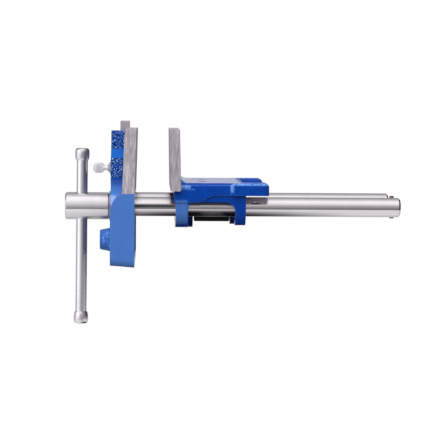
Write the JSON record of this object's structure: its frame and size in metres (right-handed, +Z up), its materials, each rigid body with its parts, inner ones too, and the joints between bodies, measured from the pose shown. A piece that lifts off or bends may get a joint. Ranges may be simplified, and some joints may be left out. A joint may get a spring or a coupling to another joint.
{
  "type": "woodworking vise",
  "caption": "Bench-mounted woodworking vise: plain screw, two guide rods, toed-in front jaw with a sliding dog, sliding T-handle.",
  "frame": {"origin": "on the bench face of the rear casting, midway between the front and rear rows of bolt holes", "axes": "+X to the rear, into the bench; +Y to the right seen from the handle; +Z up, out of the bench face"},
  "size_m": [0.3823, 0.178, 0.2344],
  "materials": {
    "casting_rear": "grey iron, blue enamel, jaw ground bare",
    "casting_front": "grey iron, blue enamel, hammered dog housing, jaw ground bare",
    "guide_rods": "ground and polished",
    "pins": "plain steel",
    "screw": "rolled thread, oiled",
    "screw_head": "turned and plated",
    "washers": "plain steel",
    "collar": "turned steel",
    "nut": "black",
    "handle": "plated bar",
    "knobs": "plated",
    "dog": "ground bar",
    "thumb_screw": "plated"
  },
  "bodies": {
    "saddle": {"rear_jaw": "casting_rear", "screw_nut": "nut"},
    "front_jaw": {"front_jaw": "casting_front", "guide_rod_near": "guide_rods", "guide_rod_far": "guide_rods", "rod_pin_near": "pins", "rod_pin_far": "pins"},
    "screw": {"main_screw": "screw", "screw_head": "screw_head", "front_thrust_washer": "washers", "rear_thrust_washer": "washers", "screw_collar": "collar", "collar_pin": "pins", "tail_stop_pin": "pins"},
    "handle": {"handle_bar": "handle", "handle_knob_upper": "knobs", "handle_knob_lower": "knobs"},
    "dog": {"dog_bar": "dog"},
    "thumb_screw": {"dog_thumb_screw": "thumb_screw"}
  },
  "joints": [
    {"name": "jaw_slide", "type": "slide", "parent": "saddle", "child": "front_jaw", "axis": [1, 0, 0], "range_m": [-0.16875, 0.0361]},
    {"name": "screw_turn", "type": "hinge", "parent": "front_jaw", "child": "screw", "pos_m": [-0.16, 0, -0.03], "axis": [1, 0, 0], "range_deg": [-20250, 4332]},
    {"name": "handle_slide", "type": "slide", "parent": "screw", "child": "handle", "axis": [0.007, 0, 1], "range_m": [-0.0358, 0.1057]},
    {"name": "dog_slide", "type": "slide", "parent": "front_jaw", "child": "dog", "axis": [0, 0, 1], "range_m": [-0.0089, 0.0098]},
    {"name": "thumb_screw_turn", "type": "hinge", "parent": "front_jaw", "child": "thumb_screw", "pos_m": [-0.14, 0, 0.014], "axis": [1, 0, 0], "range_deg": [-720, 0]}
  ],
  "couplings": [
    {"joint": "screw_turn", "follows": "jaw_slide", "rad_per_m": 2094.4}
  ]
}
